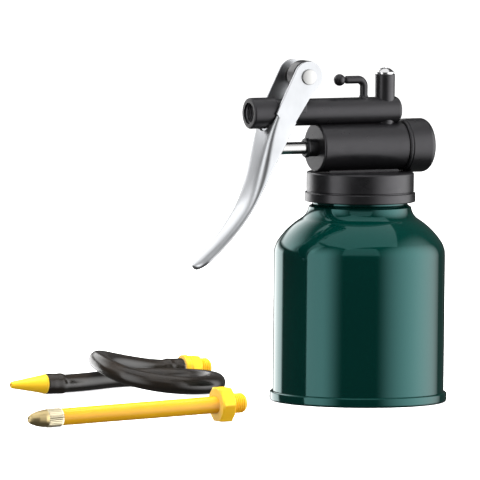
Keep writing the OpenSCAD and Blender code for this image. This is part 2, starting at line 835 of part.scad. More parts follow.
module hose_nozzle() color(yellow) {
    start = hose_route[0];
    translate([hose_place[0] + start[0], hose_place[1] + start[1], start[2]])
        difference() {
            turned_x(0, [
                [0, 0], [cone_r, 0], [cone_r + 0.1, -0.4], [cone_r - 0.1, -1],
                [cone_tip_r + 0.1, 0.6 - cone_l], [cone_tip_r - 0.4, -cone_l], [0, -cone_l]
            ]);
            bar_x(0, 0.8, -cone_l - 1, 1);
        }
}

can_shell();
can_base();
head_gasket();
pump_body();
end_cap();
end_cap_seal();
gland_nut();
rod_seal();
piston_rod();
piston();
piston_seal();
return_spring();
suction_seat();
suction_ball();
dip_tube();
strainer();
discharge_ball();
discharge_spring();
discharge_plug();
plug_washer();
lever();
pivot_rivet();
rivet_washer();
rigid_spout_tube();
rigid_spout_fitting();
rigid_spout_nozzle();
flexible_hose();
hose_fitting();
hose_nozzle();
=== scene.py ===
import math

import bmesh
import bpy
import numpy as np
from mathutils import Matrix, Quaternion, Vector


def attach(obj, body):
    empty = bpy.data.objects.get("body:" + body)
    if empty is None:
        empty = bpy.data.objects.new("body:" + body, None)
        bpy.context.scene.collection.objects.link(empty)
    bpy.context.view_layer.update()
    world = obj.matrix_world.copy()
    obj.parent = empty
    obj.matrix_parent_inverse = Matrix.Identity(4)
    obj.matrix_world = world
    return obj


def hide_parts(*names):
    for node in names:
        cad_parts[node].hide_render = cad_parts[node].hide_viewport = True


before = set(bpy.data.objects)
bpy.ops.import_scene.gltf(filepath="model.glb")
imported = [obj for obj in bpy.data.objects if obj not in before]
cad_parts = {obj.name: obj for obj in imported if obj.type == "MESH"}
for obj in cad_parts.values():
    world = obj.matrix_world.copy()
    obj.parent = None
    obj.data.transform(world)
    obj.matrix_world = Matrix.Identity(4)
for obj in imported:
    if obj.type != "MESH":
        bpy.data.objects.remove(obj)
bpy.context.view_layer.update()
MM = 0.001

# ---------------------------------------------------------------------------------------------
# Camera: a long lens at the photograph's angle, a little above the can's middle
# ---------------------------------------------------------------------------------------------
VIEW_AZIMUTH = math.radians(-27)
VIEW_ELEVATION = math.radians(4.4)
VIEW_ROLL = math.radians(0.55)
VIEW_DISTANCE = 6.0
VIEW_WIDTH = 0.2353
VIEW_SENSOR = 36.0
VIEW_LEFT = 0.0578
VIEW_UP = 0.0786


def add_camera():
    cam = bpy.data.objects.new("camera", bpy.data.cameras.new("camera"))
    bpy.context.scene.collection.objects.link(cam)
    bpy.context.scene.camera = cam
    back = Vector((
        math.sin(VIEW_AZIMUTH) * math.cos(VIEW_ELEVATION),
        -math.cos(VIEW_AZIMUTH) * math.cos(VIEW_ELEVATION),
        math.sin(VIEW_ELEVATION),
    ))
    turn = (-back).to_track_quat("-Z", "Y") @ Quaternion((0, 0, 1), VIEW_ROLL)
    right, up = turn @ Vector((1, 0, 0)), turn @ Vector((0, 1, 0))
    cam.rotation_mode = "QUATERNION"
    cam.rotation_quaternion = turn
    cam.location = back * VIEW_DISTANCE - right * VIEW_LEFT + up * VIEW_UP
    cam.data.sensor_width = VIEW_SENSOR
    cam.data.lens = VIEW_SENSOR * VIEW_DISTANCE / VIEW_WIDTH
    cam.data.clip_start, cam.data.clip_end = 0.05, 50


add_camera()

# ---------------------------------------------------------------------------------------------
# Sizes shared with the CAD part, in millimetres
# ---------------------------------------------------------------------------------------------
CAN_R = 42.0
WALL_H = 72.0
SHEET = 0.8
NECK_R = 23.3
NECK_FOOT = 96.5
NECK_TOP = 107.3
NECK_THREAD_R = 24.15
BARREL_Z = 124.8
OUTLET_Z = 142.3
VALVE_X = 13.1
PIVOT_X = -33.6
PIVOT_Z = 160.0
LEVER_W = 18.8
LEVER_SHEET = 1.3
HOSE_R = 4.5
HOSE_PLACE = np.array([-68.0, 80.0, 0.0])
HOSE_ROUTE = [
    [-60, 7, 4.9], [-51, 7, 4.8], [-42, 10, 4.7], [-32, 15, 4.6], [-21, 21, 4.6],
    [-10, 26, 4.6], [3, 27, 4.6], [15, 23, 4.6], [24, 14, 4.6], [28, 3, 4.6],
    [26, -9, 4.6], [19, -20, 4.6], [8, -26, 4.8], [-4, -27, 5.4], [-15, -23, 6.8],
    [-24, -14, 9], [-28, -3, 11.6], [-28, 9, 13.8], [-25, 20, 14.6], [-18, 30, 13.8],
    [-8, 37, 11.8], [3, 41, 9.6], [14, 43, 7.8], [24, 43, 6.9], [33, 43, 6.7],
]

# ---------------------------------------------------------------------------------------------
# Mesh helpers: outlines with rounded corners, turned solids, tubes and booleans
# ---------------------------------------------------------------------------------------------
ROUND_STEP = math.radians(15)
SHARP = math.radians(32)
TURN_Z = Matrix.Identity(4)
TURN_X = Matrix.Rotation(math.radians(90), 4, "Y")
TURN_Y = Matrix.Rotation(math.radians(90), 4, "X")


def rounded(corners):
    """Outline through (a, b) or (a, b, radius) corners, with an arc at each corner that has a radius."""
    out = []
    count = len(corners)
    for i, corner in enumerate(corners):
        here = np.array(corner[:2], float)
        radius = corner[2] if len(corner) > 2 else 0
        before = np.array(corners[i - 1][:2], float) - here
        after = np.array(corners[(i + 1) % count][:2], float) - here
        len_a, len_b = np.linalg.norm(before), np.linalg.norm(after)
        if radius <= 0 or min(len_a, len_b) < 1e-9:
            out.append(here)
            continue
        before, after = before / len_a, after / len_b
        angle = math.acos(max(-1, min(1, float(before @ after))))
        if abs(math.pi - angle) < 1e-3 or angle < 1e-3:
            out.append(here)
            continue
        reach = min(radius / math.tan(angle / 2), 0.49 * len_a, 0.49 * len_b)
        radius = reach * math.tan(angle / 2)
        middle = here + (before + after) / np.linalg.norm(before + after) * radius / math.sin(angle / 2)
        start, end = here + before * reach - middle, here + after * reach - middle
        sweep = math.pi - angle
        steps = max(2, round(sweep / ROUND_STEP))
        for k in range(steps + 1):
            t = k / steps
            arm = (start * math.sin((1 - t) * sweep) + end * math.sin(t * sweep)) / math.sin(sweep)
            out.append(middle + arm)
    return out


def arc(centre, r, start, end, steps):
    """Points of an arc, angles in degrees."""
    turns = [math.radians(start + (end - start) * k / steps) for k in range(steps + 1)]
    return [(centre[0] + r * math.cos(t), centre[1] + r * math.sin(t)) for t in turns]


def new_object(name, verts, faces):
    mesh = bpy.data.meshes.new(name)
    mesh.from_pydata([tuple(float(c) for c in v) for v in verts], [], faces)
    work = bmesh.new()
    work.from_mesh(mesh)
    bmesh.ops.remove_doubles(work, verts=work.verts, dist=1e-7)
    bmesh.ops.recalc_face_normals(work, faces=work.faces)
    work.to_mesh(mesh)
    work.free()
    obj = bpy.data.objects.new(name, mesh)
    bpy.context.scene.collection.objects.link(obj)
    return obj


def turned(name, outline, turn=TURN_Z, place=(0, 0, 0), segments=128, shape=None):
    """Solid of revolution from a closed (radius, height) outline in mm. shape(angle, radius, height) may
    give another radius, for knurls and flats."""
    rows, verts, faces = [], [], []
    for r, h in outline:
        if r < 1e-6:
            rows.append([len(verts)] * segments)
            verts.append((0, 0, h))
            continue
        row = []
        for k in range(segments):
            a = 2 * math.pi * k / segments
            rr = shape(a, r, h) if shape else r
            row.append(len(verts))
            verts.append((rr * math.cos(a), rr * math.sin(a), h))
        rows.append(row)
    for i, row in enumerate(rows):
        other = rows[(i + 1) % len(rows)]
        for k in range(segments):
            k2 = (k + 1) % segments
            loop = [row[k], row[k2], other[k2], other[k]]
            loop = [v for j, v in enumerate(loop) if v not in loop[:j]]
            if len(loop) > 2:
                faces.append(loop)
    move = Matrix.Translation(Vector(place)) @ turn
    verts = [(move @ Vector(v)) * MM for v in verts]
    return new_object(name, verts, faces)


def along_x(corners):
    """(radius, x) corners of a piece turned about X, as an outline for turned(..., TURN_X)."""
    return rounded([(c[0], c[1], *c[2:]) for c in corners])


def tube(name, line, radii, sides=32, place=(0, 0, 0), close=True):
    """Round tube in mm along a line of points, with a radius at each."""
    line = np.array(line, float)
    verts, faces = [], []
    tangents = np.gradient(line, axis=0)
    tangents /= np.linalg.norm(tangents, axis=1)[:, None]
    side = np.cross(tangents[0], (0, 0, 1.0))
    if np.linalg.norm(side) < 1e-3:
        side = np.array((0, 1.0, 0))
    for p, t, r in zip(line, tangents, radii):
        side = side - t * (side @ t)
        side /= np.linalg.norm(side)
        up = np.cross(side, t)
        for k in range(sides):
            a = 2 * math.pi * k / sides
            verts.append((p + r * (math.cos(a) * side + math.sin(a) * up) + np.array(place)) * MM)
    for i in range(len(line) - 1):
        for k in range(sides):
            k2 = (k + 1) % sides
            faces.append([i * sides + k, i * sides + k2, (i + 1) * sides + k2, (i + 1) * sides + k])
    if close:
        faces.append(list(range(sides)))
        faces.append([(len(line) - 1) * sides + k for k in range(sides)])
    return new_object(name, verts, faces)


def slab(name, corners, y_from, y_to, bevel=0.0):
    """Plate in the XZ plane from y_from to y_to in mm, its outline given as (x, z[, radius]) corners, edges
    rounded by bevel."""
    outline = rounded(corners)
    layers = [(y_from, bevel), (y_from + bevel * 0.3, bevel * 0.3), (y_from + bevel, 0)]
    layers += [(y_to - bevel, 0), (y_to - bevel * 0.3, bevel * 0.3), (y_to, bevel)]
    if bevel <= 0:
        layers = [(y_from, 0), (y_to, 0)]
    pts = np.array(outline)
    ahead, behind = np.roll(pts, -1, 0) - pts, pts - np.roll(pts, 1, 0)
    ahead /= np.maximum(np.linalg.norm(ahead, axis=1), 1e-9)[:, None]
    behind /= np.maximum(np.linalg.norm(behind, axis=1), 1e-9)[:, None]
    area = 0.5 * float(np.sum(pts[:, 0] * np.roll(pts[:, 1], -1) - np.roll(pts[:, 0], -1) * pts[:, 1]))
    mid = ahead + behind
    mid /= np.maximum(np.linalg.norm(mid, axis=1), 1e-9)[:, None]
    inward = np.stack([-mid[:, 1], mid[:, 0]], 1) * (1 if area > 0 else -1)
    verts, faces, n = [], [], len(pts)
    for y, inset in layers:
        for p in pts + inward * inset:
            verts.append((p[0] * MM, y * MM, p[1] * MM))
    for i in range(len(layers) - 1):
        for k in range(n):
            k2 = (k + 1) % n
            faces.append([i * n + k, i * n + k2, (i + 1) * n + k2, (i + 1) * n + k])
    faces.append(list(range(n)))
    faces.append([(len(layers) - 1) * n + k for k in range(n)])
    return new_object(name, verts, faces)


def rod(name, start, end, r, sides=64):
    """Plain round bar in mm, used to cut holes."""
    return tube(name, [start, end], [r, r], sides)


def combine(target, others, operation):
    """Applies an exact boolean of target with each of the others, and deletes them."""
    for other in others:
        step = target.modifiers.new("step", "BOOLEAN")
        step.operation, step.object, step.solver = operation, other, "EXACT"
        bpy.context.view_layer.update()
        made = bpy.data.meshes.new_from_object(target.evaluated_get(bpy.context.evaluated_depsgraph_get()))
        target.modifiers.clear()
        target.data = made
        bpy.data.objects.remove(other)
    return target


def dressed(obj, mat, body, nodes=(), sharp=SHARP):
    """Smooth shading with crisp edges, a material, the body it rides on and the CAD nodes it stands for."""
    mesh = obj.data
    mesh.shade_smooth()
    mesh.set_sharp_from_angle(angle=sharp)
    mesh.materials.clear()
    mesh.materials.append(mat)
    even = obj.modifiers.new("even_normals", "WEIGHTED_NORMAL")
    even.keep_sharp = True
    even.weight = 60
    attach(obj, body)
    if nodes:
        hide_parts(*nodes)
    return obj


# ---------------------------------------------------------------------------------------------
# Materials
# ---------------------------------------------------------------------------------------------
class Shader:
    """A material's node graph, built by short calls."""

    def __init__(self, name, **fixed):
        self.mat = bpy.data.materials.new(name)
        self.mat.use_nodes = True
        self.tree = self.mat.node_tree
        self.bsdf = self.tree.nodes["Principled BSDF"]
        self.place = self.tree.nodes.new("ShaderNodeTexCoord").outputs["Object"]
        for key, value in fixed.items():
            self.bsdf.inputs[key.replace("_", " ")].default_value = value

    def node(self, kind, inputs=None, **settings):
        made = self.tree.nodes.new(kind)
        for key, value in settings.items():
            setattr(made, key, value)
        for key, value in (inputs or {}).items():
            if isinstance(value, bpy.types.NodeSocket):
                self.tree.links.new(value, made.inputs[key])
            else:
                made.inputs[key].default_value = value
        return made

    def stretched(self, scale):
        return self.node("ShaderNodeMapping", {"Vector": self.place, "Scale": scale}).outputs[0]

    def noise(self, scale, detail=4.0, rough=0.55, where=None, distortion=0.0):
        return self.node("ShaderNodeTexNoise", {
            "Vector": where or self.place, "Scale": scale, "Detail": detail, "Roughness": rough,
            "Distortion": distortion,
        }).outputs["Fac"]

    def span(self, value, low, high, to_low, to_high):
        return self.node("ShaderNodeMapRange", {
            "Value": value, "From Min": low, "From Max": high, "To Min": to_low, "To Max": to_high,
        }).outputs[0]

    def blend(self, factor, first, second):
        mix = self.node("ShaderNodeMix", data_type="RGBA")
        self.tree.links.new(factor, mix.inputs["Factor"])
        for socket, colour in ((mix.inputs[6], first), (mix.inputs[7], second)):
            if isinstance(colour, bpy.types.NodeSocket):
                self.tree.links.new(colour, socket)
            else:
                socket.default_value = (*colour, 1)
        return mix.outputs[2]

    def math(self, how, a, b):
        made = self.node("ShaderNodeMath", operation=how)
        for socket, value in zip(made.inputs, (a, b)):
            if isinstance(value, bpy.types.NodeSocket):
                self.tree.links.new(value, socket)
            else:
                socket.default_value = value
        return made.outputs[0]

    def bump(self, height, distance_mm, strength=1.0, over=None):
        inputs = {"Height": height, "Distance": distance_mm * MM, "Strength": strength}
        if over:
            inputs["Normal"] = over
        return self.node("ShaderNodeBump", inputs).outputs[0]

    def set(self, key, value):
        self.tree.links.new(value, self.bsdf.inputs[key])


def enamel():
    """Deep green stoving enamel: a greenish gloss over slightly uneven colour, with a fine orange peel."""
    s = Shader("green_enamel", Roughness=0.07, IOR=1.6, Specular_Tint=(0.4, 1.0, 0.98, 1))
    cloud = s.noise(28, 3)
    speck = s.span(s.noise(1600, 2), 0.62, 0.78, 0, 0.25)
    deep = s.blend(s.span(cloud, 0.3, 0.7, 0, 1), (0.0, 0.0185, 0.0145), (0.0, 0.021, 0.0163))
    s.set("Base Color", s.blend(speck, deep, (0.0, 0.025, 0.02)))
    s.set("Roughness", s.span(s.noise(160, 3), 0.3, 0.7, 0.05, 0.085))
    s.set("Normal", s.bump(s.noise(380, 2, 0.4), 0.006, 0.4))
    return s.mat


def moulding(name="black_moulding", base=(0.0052, 0.0051, 0.0058), lift=0.003):
    """Moulded black plastic: a fine spark-eroded grain, faint flow marks and a few rub marks."""
    s = Shader(name, Roughness=0.36, IOR=1.52, Specular_Tint=(0.97, 0.95, 1.0, 1))
    flow = s.noise(60, 4, where=s.stretched((0.4, 1, 1)))
    pale = tuple(c + lift for c in base)
    s.set("Base Color", s.blend(s.span(flow, 0.35, 0.7, 0, 1), base, pale))
    rub = s.span(s.noise(900, 5, 0.65, where=s.stretched((0.15, 1, 1))), 0.5, 0.72, 0, 0.09)
    s.set("Roughness", s.math("ADD", s.span(s.noise(230, 4), 0.3, 0.7, 0.27, 0.36), rub))
    s.set("Normal", s.bump(s.noise(2100, 3, 0.6), 0.016, 0.3, over=s.bump(s.noise(150, 2), 0.05, 0.2)))
    return s.mat


def plated(name="bright_zinc", base=(0.48, 0.491, 0.508), rough=(0.3, 0.38), grain=(1, 1, 0.06), wave=0.03):
    """Bright plated steel: drawn grain along the pressing, soft hand-polish waves and hairline scratches."""
    s = Shader(name, Metallic=1.0, Roughness=0.2)
    along = s.stretched(grain)
    fine = s.noise(2400, 4, 0.6, where=along)
    cloud = s.noise(70, 3)
    dull = tuple(c * 0.9 for c in base)
    s.set("Base Color", s.blend(s.span(cloud, 0.35, 0.75, 0, 1), base, dull))
    s.set("Roughness", s.span(s.math("ADD", s.math("MULTIPLY", fine, 0.6), s.math("MULTIPLY", cloud, 0.4)),
                              0.35, 0.65, *rough))
    scratch = s.span(s.noise(700, 6, 0.7, where=along, distortion=0.4), 0.6, 0.68, 0, 1)
    waves = s.bump(s.noise(45, 2), wave, 0.6)
    s.set("Normal", s.bump(scratch, 0.004, 0.25, over=s.bump(fine, 0.003, 0.3, over=waves)))
    return s.mat


def brassy(name="turned_brass", base=(0.93, 0.73, 0.36), dull=(0.8, 0.63, 0.32)):
    """Turned brass: fine lathe rings and a light uneven tarnish."""
    s = Shader(name, Metallic=1.0, Roughness=0.34)
    tarnish = s.span(s.noise(240, 5, 0.6), 0.4, 0.7, 0, 1)
    s.set("Base Color", s.blend(tarnish, base, dull))
    rings = s.noise(3000, 3, 0.6, where=s.stretched((1, 0.05, 0.05)))
    s.set("Roughness", s.math("ADD", s.span(rings, 0.3, 0.7, 0.28, 0.4), s.math("MULTIPLY", tarnish, 0.08)))
    s.set("Normal", s.bump(rings, 0.006, 0.4))
    return s.mat


def gloss_plastic(name, base, deep, rough, subsurface=0.12, grain=0.01):
    """Coloured moulded plastic: slightly translucent, with faint flow streaks and a soft uneven surface."""
    s = Shader(name, Roughness=rough, IOR=1.5, Subsurface_Weight=subsurface, Subsurface_Scale=0.003)
    s.bsdf.inputs["Subsurface Radius"].default_value = (1.0, 0.55, 0.08)
    flow = s.noise(90, 4, where=s.stretched((0.3, 1, 1)))
    s.set("Base Color", s.blend(s.span(flow, 0.3, 0.7, 0, 1), base, deep))
    s.set("Roughness", s.span(s.noise(300, 4), 0.3, 0.7, rough * 0.8, rough * 1.25))
    s.set("Normal", s.bump(s.noise(1300, 3), grain, 0.35, over=s.bump(s.noise(120, 2), 0.05, 0.3)))
    return s.mat


def rubber(name="hose_rubber", base=(0.012, 0.011, 0.0105), rough=(0.16, 0.27), warm=(0.02, 0.014, 0.009)):
    """Black rubber: polished by its mould, with long soft ripples and dusty patches."""
    s = Shader(name, Roughness=0.25, IOR=1.52, Sheen_Weight=0.04, Sheen_Roughness=0.4)
    s.set("Base Color", s.blend(s.span(s.noise(50, 4), 0.35, 0.7, 0, 1), base, warm))
    s.set("Roughness", s.span(s.noise(260, 5), 0.3, 0.7, *rough))
    s.set("Normal", s.bump(s.noise(1500, 3), 0.008, 0.35, over=s.bump(s.noise(130, 2), 0.08, 0.35)))
    return s.mat


def dull_plastic():
    """Natural polyethylene: milky and a little translucent, with draw lines along the tube."""
    s = Shader("natural_polyethylene", Roughness=0.4, IOR=1.5, Subsurface_Weight=0.4, Subsurface_Scale=0.002)
    streak = s.noise(900, 3, where=s.stretched((1, 1, 0.04)))
    s.set("Base Color", s.blend(s.span(streak, 0.3, 0.7, 0, 1), (0.72, 0.72, 0.68), (0.8, 0.8, 0.76)))
    s.set("Roughness", s.span(streak, 0.3, 0.7, 0.34, 0.48))
    s.set("Normal", s.bump(streak, 0.02, 0.3))
    return s.mat


GREEN = enamel()
BLACK = moulding()
LEVER_STEEL = plated()
ROD_STEEL = plated("ground_steel", (0.56, 0.555, 0.55), (0.16, 0.24), (0.05, 1, 1), 0.005)
RIVET_STEEL = plated("rivet_steel", (0.46, 0.46, 0.455), (0.26, 0.36), (1, 1, 1), 0.01)
CHROME = plated("chrome", (0.86, 0.86, 0.87), (0.12, 0.18), (1, 1, 1), 0.01)
SPRING_STEEL = plated("spring_wire", (0.45, 0.46, 0.48), (0.22, 0.34), (1, 1, 1), 0.01)
ALLOY = plated("turned_alloy", (0.68, 0.69, 0.7), (0.22, 0.34), (1, 0.06, 0.06), 0.005)
BRASS = brassy()
KNURL_BRASS = brassy("knurled_brass", (0.95, 0.84, 0.58), (0.84, 0.75, 0.52))
YELLOW_TUBE = gloss_plastic("yellow_tube", (0.83, 0.43, 0.008), (0.74, 0.36, 0.006), 0.17)
YELLOW_FITTING = gloss_plastic("yellow_fitting", (0.95, 0.57, 0.006), (0.88, 0.5, 0.005), 0.38, 0.2, 0.02)
HOSE_RUBBER = rubber()
SEAL_RUBBER = rubber("seal_rubber", (0.016, 0.016, 0.016), (0.5, 0.65), (0.028, 0.027, 0.026))
NATURAL = dull_plastic()

# ---------------------------------------------------------------------------------------------
# Flexible spout: the hose first, along its route
# ---------------------------------------------------------------------------------------------
HOSE_SPAN_STEPS = 12


def smooth_route(points, steps):
    """Catmull-Rom curve through the points."""
    pts = np.array(points, float)
    pts = np.vstack([pts[0], pts, pts[-1]])
    line = []
    for i in range(1, len(pts) - 2):
        a, b, c, d = pts[i - 1], pts[i], pts[i + 1], pts[i + 2]
        for k in range(steps):
            t = k / steps
            line.append(0.5 * (2 * b + (c - a) * t + (2 * a - 5 * b + 4 * c - d) * t**2
                               + (3 * b - a - 3 * c + d) * t**3))
    line.append(pts[-2])
    return np.array(line)


def swelling(run, length):
    """Hose radius where it is stretched over the barbs inside both ends, in mm."""
    barb, reach = 0.62, 11.0
    grow = 0.0
    for from_end in (run, length - run):
        if from_end < reach:
            ring = 0.16 * math.exp(-((from_end - 8.6) / 1.3) ** 2)
            ring -= 0.12 * math.exp(-((from_end - 5.2) / 0.9) ** 2)
            grow += barb * (1 - ease((from_end - 7.5) / 3.5)) + ring
    lip = min(run, length - run)
    if lip < 0.7:
        grow -= 0.45 * (1 - math.sqrt(max(0, 1 - (1 - lip / 0.7) ** 2)))
    return HOSE_R + grow


def ease(t):
    """Smooth step from 0 to 1."""
    t = max(0.0, min(1.0, t))
    return t * t * (3 - 2 * t)


def make_flexible_spout():
    """Hose along its route, with a cone nozzle at one end and a threaded fitting at the other."""
    line = smooth_route(HOSE_ROUTE, HOSE_SPAN_STEPS) + HOSE_PLACE
    run = np.concatenate([[0], np.cumsum(np.linalg.norm(np.diff(line, axis=0), axis=1))])
    ends = np.array([0.15, 0.35, 0.7])
    stops = np.unique(np.concatenate([run, ends, run[-1] - ends]))
    line = np.stack([np.interp(stops, run, line[:, k]) for k in range(3)], 1)
    radii = [swelling(s, run[-1]) for s in stops]
    hose = tube("hose", line, radii, 36)
    dressed(hose, HOSE_RUBBER, "flexible_spout", ["flexible_hose"])

    start = line[0]
    nozzle = turned("cone_nozzle", along_x([
        (0.8, 1.5), (4.0, 1.5), (4.0, 0.1), (4.75, 0.0, 0.3), (4.85, -0.9, 0.3), (4.62, -1.2, 0.2),
        (1.75, -18.2, 0.5), (1.4, -19, 0.35), (0.8, -19, 0.1),
    ]), TURN_X, start, 96)
    dressed(nozzle, YELLOW_FITTING, "flexible_spout", ["hose_nozzle"])

    end = line[-1]
    fitting = threaded_fitting("hose_fitting_piece", end, 0.0, 6.0, (3.0, 9.0), 15.0, 6.7)
    dressed(fitting, YELLOW_FITTING, "flexible_spout", ["hose_fitting"])


def threaded_fitting(name, place, tilt, apothem, hexagon, end, collar_r):
    """Hexagon with a male thread along +X from place: collar from 0 to the hexagon's start, the hexagon, then
    the thread to end."""
    crest, root, pitch = 4.85, 4.3, 1.0
    hex_from, hex_to = hexagon
    turn = Matrix.Rotation(math.radians(-tilt), 4, "Y") @ TURN_X
    outline = [(2.0, 0.0)]
    if collar_r:
        outline += [(collar_r, 0.0, 0.5), (collar_r, hex_from - 0.1, 0.5)]
        outline += [(apothem - 1, hex_from - 0.1)]
    inner = (2.0, 0.0) if collar_r else (2.0, hex_from)
    body = [inner] + outline[1:] if collar_r else [inner, (3.2, hex_from)]
    body += [(3.2, hex_to + 0.2), (root - 0.2, hex_to + 0.2), (root - 0.2, hex_to + 0.9)]
    turns = int((end - hex_to - 1.6) / pitch)
    for k in range(turns):
        at = hex_to + 1.0 + k * pitch
        body += [(root, at, 0.08), (crest, at + 0.38, 0.1), (crest, at + 0.52, 0.1), (root, at + 0.9, 0.08)]
    body += [(root, end - 0.5, 0.1), (root - 0.5, end, 0.15), (2.4, end, 0.2), (2.0, end - 0.4)]
    core = turned(name, rounded(body), turn, place, 96)
    corner_r = apothem / math.cos(math.radians(30))
    flats = turned(name + "_flats", rounded([
        (2.6, hex_from), (apothem - 0.1, hex_from, 0.1), (corner_r + 0.02, hex_from + 0.85, 0.3),
        (corner_r + 0.02, hex_to - 0.85, 0.3), (apothem - 0.1, hex_to, 0.1), (2.6, hex_to),
    ]), turn, place, 192, lambda a, r, h: min(r, hexagon_radius(a, apothem)))
    return combine(core, [flats], "UNION")


def hexagon_radius(angle, apothem, corner=0.35):
    """Distance to a hexagon's side in a direction, with slightly rounded corners and a flat underneath."""
    within = (angle + math.radians(30)) % math.radians(60) - math.radians(30)
    straight = apothem / math.cos(within)
    return min(straight, apothem / math.cos(math.radians(30)) - corner * 0.35)


make_flexible_spout()

# ---------------------------------------------------------------------------------------------
# Can
# ---------------------------------------------------------------------------------------------


def can_outline(inset, steps=14):
    """Outline of the can's wall from the shoulder's start to the neck, moved inwards by inset."""
    r1, a1, r2, a2, r3 = 12, 34, 37, 58, 8
    c1 = np.array((CAN_R - r1, WALL_H))
    d1 = np.array((math.cos(math.radians(a1)), math.sin(math.radians(a1))))
    c2 = c1 + (r1 - r2) * d1
    d2 = np.array((math.cos(math.radians(a2)), math.sin(math.radians(a2))))
    c3 = c2 + (r2 + r3) * d2
    return (arc(c1, r1 - inset, 0, a1, steps) + arc(c2, r2 - inset, a1, a2, steps)[1:]
            + arc(c3, r3 + inset, 180 + a2, 186, steps)[1:])


def make_can():
    """Drawn wall with its threaded neck, and the base rolled on below it."""
    neck = [(NECK_R + 0.1, NECK_FOOT + 0.3, 0.5)]
    for k in range(3):
        z = NECK_FOOT + 2.6 + 3 * k
        neck += [(NECK_R, z - 1.0, 0.3), (NECK_THREAD_R, z - 0.3, 0.35), (NECK_THREAD_R, z + 0.3, 0.35),
                 (NECK_R, z + 1.0, 0.3)]
    neck += [(NECK_R, NECK_TOP, 0.35), (NECK_R - SHEET, NECK_TOP, 0.35), (NECK_R - SHEET, NECK_FOOT, 0.5)]
    wall = [(CAN_R - SHEET, 1.7), (CAN_R, 1.7)] + [(CAN_R, z) for z in (6, 20, 36, 52, 64)]
    inner = [(CAN_R - SHEET, z) for z in (64, 52, 36, 20, 6)]
    outline = wall + can_outline(0) + rounded(neck)[1:] + can_outline(SHEET)[::-1] + inner
    shell = turned("can_wall", outline, segments=192)
    dressed(shell, GREEN, "can", ["can_shell"])

    rim, wall_in = 43.45, CAN_R - SHEET
    base = turned("can_bottom", rounded([
        (0, 2.6), (30, 2.6, 1), (31, 2.1, 1), (35.5, 2.1, 1), (wall_in - 3.2, 2.6, 2),
        (wall_in - 1.2, 0, 0.8),
        (rim - 0.1, 0.0, 1.3), (rim, 2.4), (rim, 4.6, 0.8), (CAN_R + 0.12, 4.9, 0.25), (CAN_R + 0.05, 3.2),
        (CAN_R + 0.05, 1.55), (wall_in - 0.05, 1.55), (wall_in - 0.05, 4.9), (wall_in - 0.8, 4.9, 0.2),
        (wall_in - 0.8, 1.6), (wall_in - 3.4, 3.4, 1), (0, 3.4),
    ]), segments=192)
    dressed(base, GREEN, "can", ["can_base"])


make_can()

# ---------------------------------------------------------------------------------------------
# Pump head
# ---------------------------------------------------------------------------------------------


